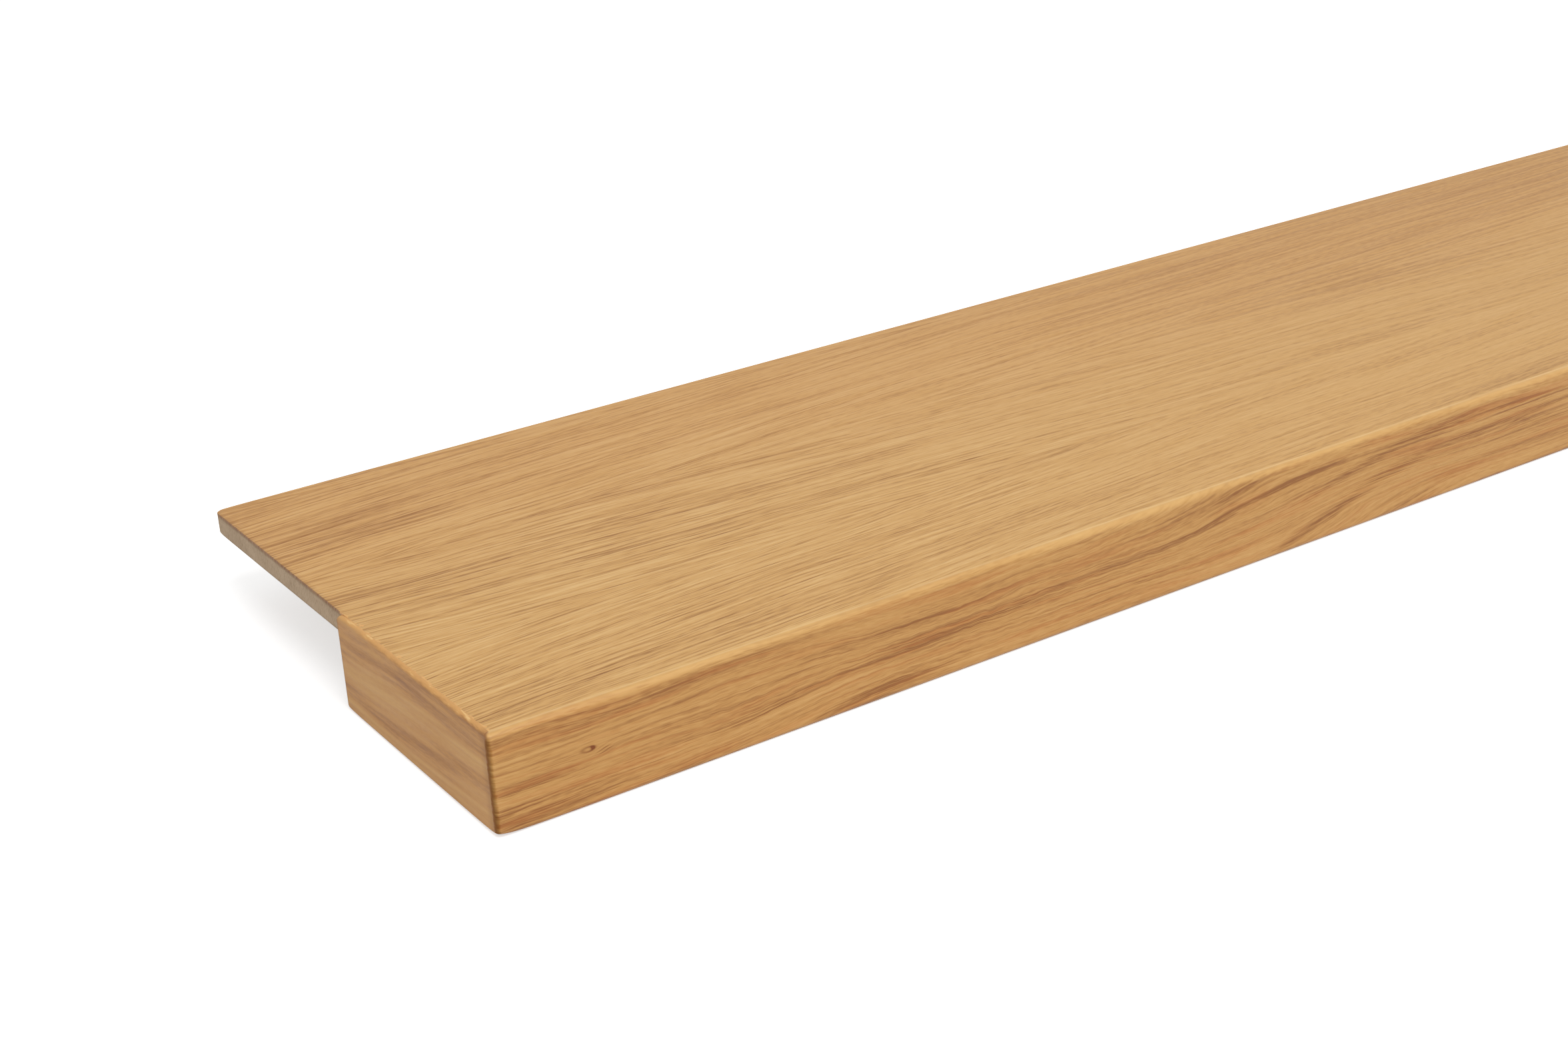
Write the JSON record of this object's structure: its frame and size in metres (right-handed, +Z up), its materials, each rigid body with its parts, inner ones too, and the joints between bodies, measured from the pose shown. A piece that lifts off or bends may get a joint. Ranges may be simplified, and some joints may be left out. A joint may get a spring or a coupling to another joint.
{
  "type": "window sill board",
  "caption": "Window sill board: a thin oak-veneered panel with a deep square nose along its front, edged with oak lippings, that laps over a wall or an old sill.",
  "frame": {"origin": "under the middle of the board, on the plane of the nose's underside", "axes": "+X along the board, the front face at -Y and the back edge at +Y, +Z up"},
  "size_m": [1.2, 0.25, 0.04],
  "materials": {
    "oak_veneer": "satin lacquered oak, straight grain along the board",
    "oak_lipping": "satin lacquered oak strip, sanded edges",
    "fibreboard": "raw fibreboard, matt"
  },
  "bodies": {
    "root": {"carrier_panel": "fibreboard", "top_veneer": "oak_veneer", "nosing_core": "fibreboard", "front_lipping": "oak_lipping", "left_end_lipping": "oak_lipping", "right_end_lipping": "oak_lipping"}
  },
  "joints": []
}
